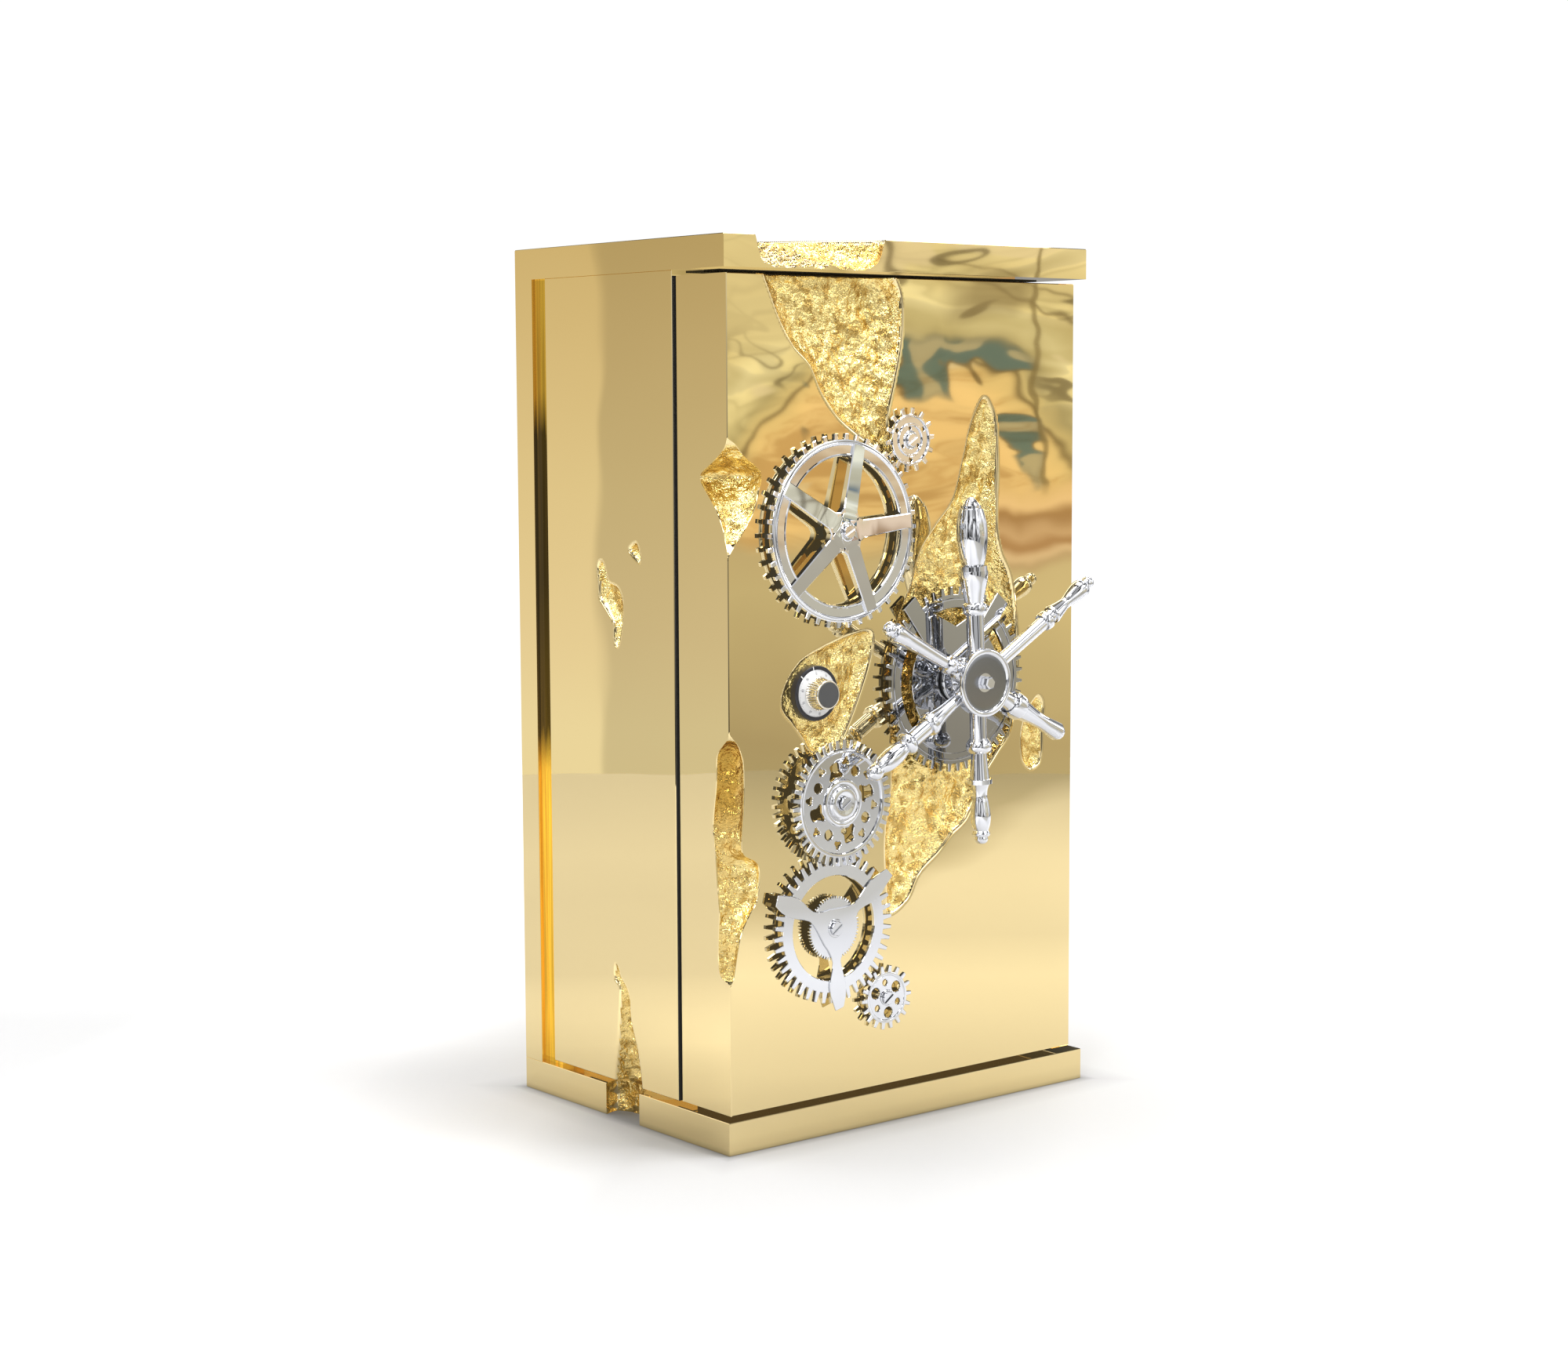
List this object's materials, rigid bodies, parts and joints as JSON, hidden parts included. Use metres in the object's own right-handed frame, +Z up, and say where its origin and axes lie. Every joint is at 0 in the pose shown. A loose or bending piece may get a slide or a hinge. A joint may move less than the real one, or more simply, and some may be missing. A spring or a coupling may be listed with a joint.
{
  "type": "free-standing strong-box cabinet",
  "caption": "Tall free-standing strong-box cabinet with a thick hinged door, turned spoke wheel that throws the bolts, combination dial and ornamental gears.",
  "frame": {"origin": "middle of the plinth's footprint, on the floor", "axes": "+X to the right seen from the front, +Y from the front door towards the back, +Z up"},
  "size_m": [0.704, 0.613, 1.3],
  "materials": {
    "polished_gold": "mirror-polished pale champagne gold",
    "deep_gold": "polished deeper gold",
    "bronze": "turned bronze",
    "chrome": "mirror-polished chrome",
    "warm_chrome": "polished chrome with fine flutes",
    "hub_grey": "polished dark chrome",
    "satin": "satin silver with engraved ticks",
    "brushed": "brushed",
    "grey_steel": "satin grey enamel",
    "black_enamel": "gloss black enamel",
    "dark_cap": "satin dark grey",
    "lining": "short-pile lining cloth on board",
    "shelf_wood": "satin walnut",
    "rubber_pad": "matte black"
  },
  "bodies": {
    "cabinet": {"plinth": "polished_gold", "floor_pads": "rubber_pad", "carcass": "polished_gold", "side_panel_left": "polished_gold", "side_panel_right": "polished_gold", "post_left": "polished_gold", "post_right": "polished_gold", "inlay_left": "deep_gold", "inlay_right": "deep_gold", "back_panel": "polished_gold", "cap": "polished_gold", "liner": "lining", "shelf_upper": "shelf_wood", "shelf_lower": "shelf_wood", "shelf_pins": "deep_gold", "hinge_body_leaves": "deep_gold", "hinge_pins": "brushed"},
    "door": {"door_slab": "polished_gold", "hinge_door_leaves": "deep_gold", "bolt_case": "grey_steel", "bolt_cover": "brushed", "cover_screws": "brushed", "guide_pins": "brushed", "lock_case": "bronze", "dial_ring": "black_enamel", "shaft_bush": "bronze", "stud_1": "chrome", "stud_2": "chrome", "stud_4": "chrome", "stud_5": "chrome", "stud_6": "chrome", "stud_screws": "chrome"},
    "bolts": {"bolt_carriage": "brushed", "locking_bolts": "chrome"},
    "dial": {"dial_disc": "satin", "dial_knob": "warm_chrome", "dial_cap": "dark_cap", "spindle": "bronze", "drive_cam": "deep_gold"},
    "wheel": {"wheel_shaft": "chrome", "drive_pinion": "brushed", "gear_3": "chrome", "shaft_collar": "chrome", "shaft_ring": "rubber_pad", "wheel_hub": "chrome", "hub_cap": "hub_grey", "spoke_1": "chrome", "spoke_2": "chrome", "spoke_3": "chrome", "spoke_4": "chrome", "spoke_5": "chrome", "spoke_6": "chrome"},
    "gear_1_body": {"gear_1": "chrome"},
    "gear_2_body": {"gear_2": "chrome"},
    "gear_4_body": {"gear_4": "chrome"},
    "gear_5_body": {"gear_5": "chrome", "propeller": "chrome", "fine_gear": "chrome"},
    "gear_6_body": {"gear_6": "chrome"}
  },
  "joints": [
    {"name": "door_swing", "type": "hinge", "parent": "cabinet", "child": "door", "pos_m": [0.34, -0.1415, 0], "axis": [0, 0, 1], "range_deg": [0, 110]},
    {"name": "wheel_spin", "type": "hinge", "parent": "door", "child": "wheel", "pos_m": [0.068, -0.26, 0.656], "axis": [0, 1, 0], "range_deg": [0, 90]},
    {"name": "bolt_slide", "type": "slide", "parent": "door", "child": "bolts", "axis": [-1, 0, 0], "range_m": [0, 0.0241]},
    {"name": "dial_spin", "type": "hinge", "parent": "door", "child": "dial", "pos_m": [-0.1927, -0.26, 0.6525], "axis": [0, 1, 0], "continuous": true},
    {"name": "gear_1_spin", "type": "hinge", "parent": "door", "child": "gear_1_body", "pos_m": [-0.15, -0.26, 0.8838], "axis": [0, 1, 0], "continuous": true},
    {"name": "gear_2_spin", "type": "hinge", "parent": "door", "child": "gear_2_body", "pos_m": [-0.018, -0.26, 1.0126], "axis": [0, 1, 0], "continuous": true},
    {"name": "gear_4_spin", "type": "hinge", "parent": "door", "child": "gear_4_body", "pos_m": [-0.161, -0.26, 0.493], "axis": [0, 1, 0], "continuous": true},
    {"name": "gear_5_spin", "type": "hinge", "parent": "door", "child": "gear_5_body", "pos_m": [-0.1677, -0.26, 0.3094], "axis": [0, 1, 0], "continuous": true},
    {"name": "gear_6_spin", "type": "hinge", "parent": "door", "child": "gear_6_body", "pos_m": [-0.0651, -0.26, 0.1919], "axis": [0, 1, 0], "continuous": true}
  ],
  "couplings": [
    {"joint": "bolt_slide", "follows": "wheel_spin", "m_per_rad": 0.015279},
    {"joint": "gear_2_spin", "follows": "gear_1_spin", "ratio": -3},
    {"joint": "gear_6_spin", "follows": "gear_5_spin", "ratio": -2.3333}
  ]
}
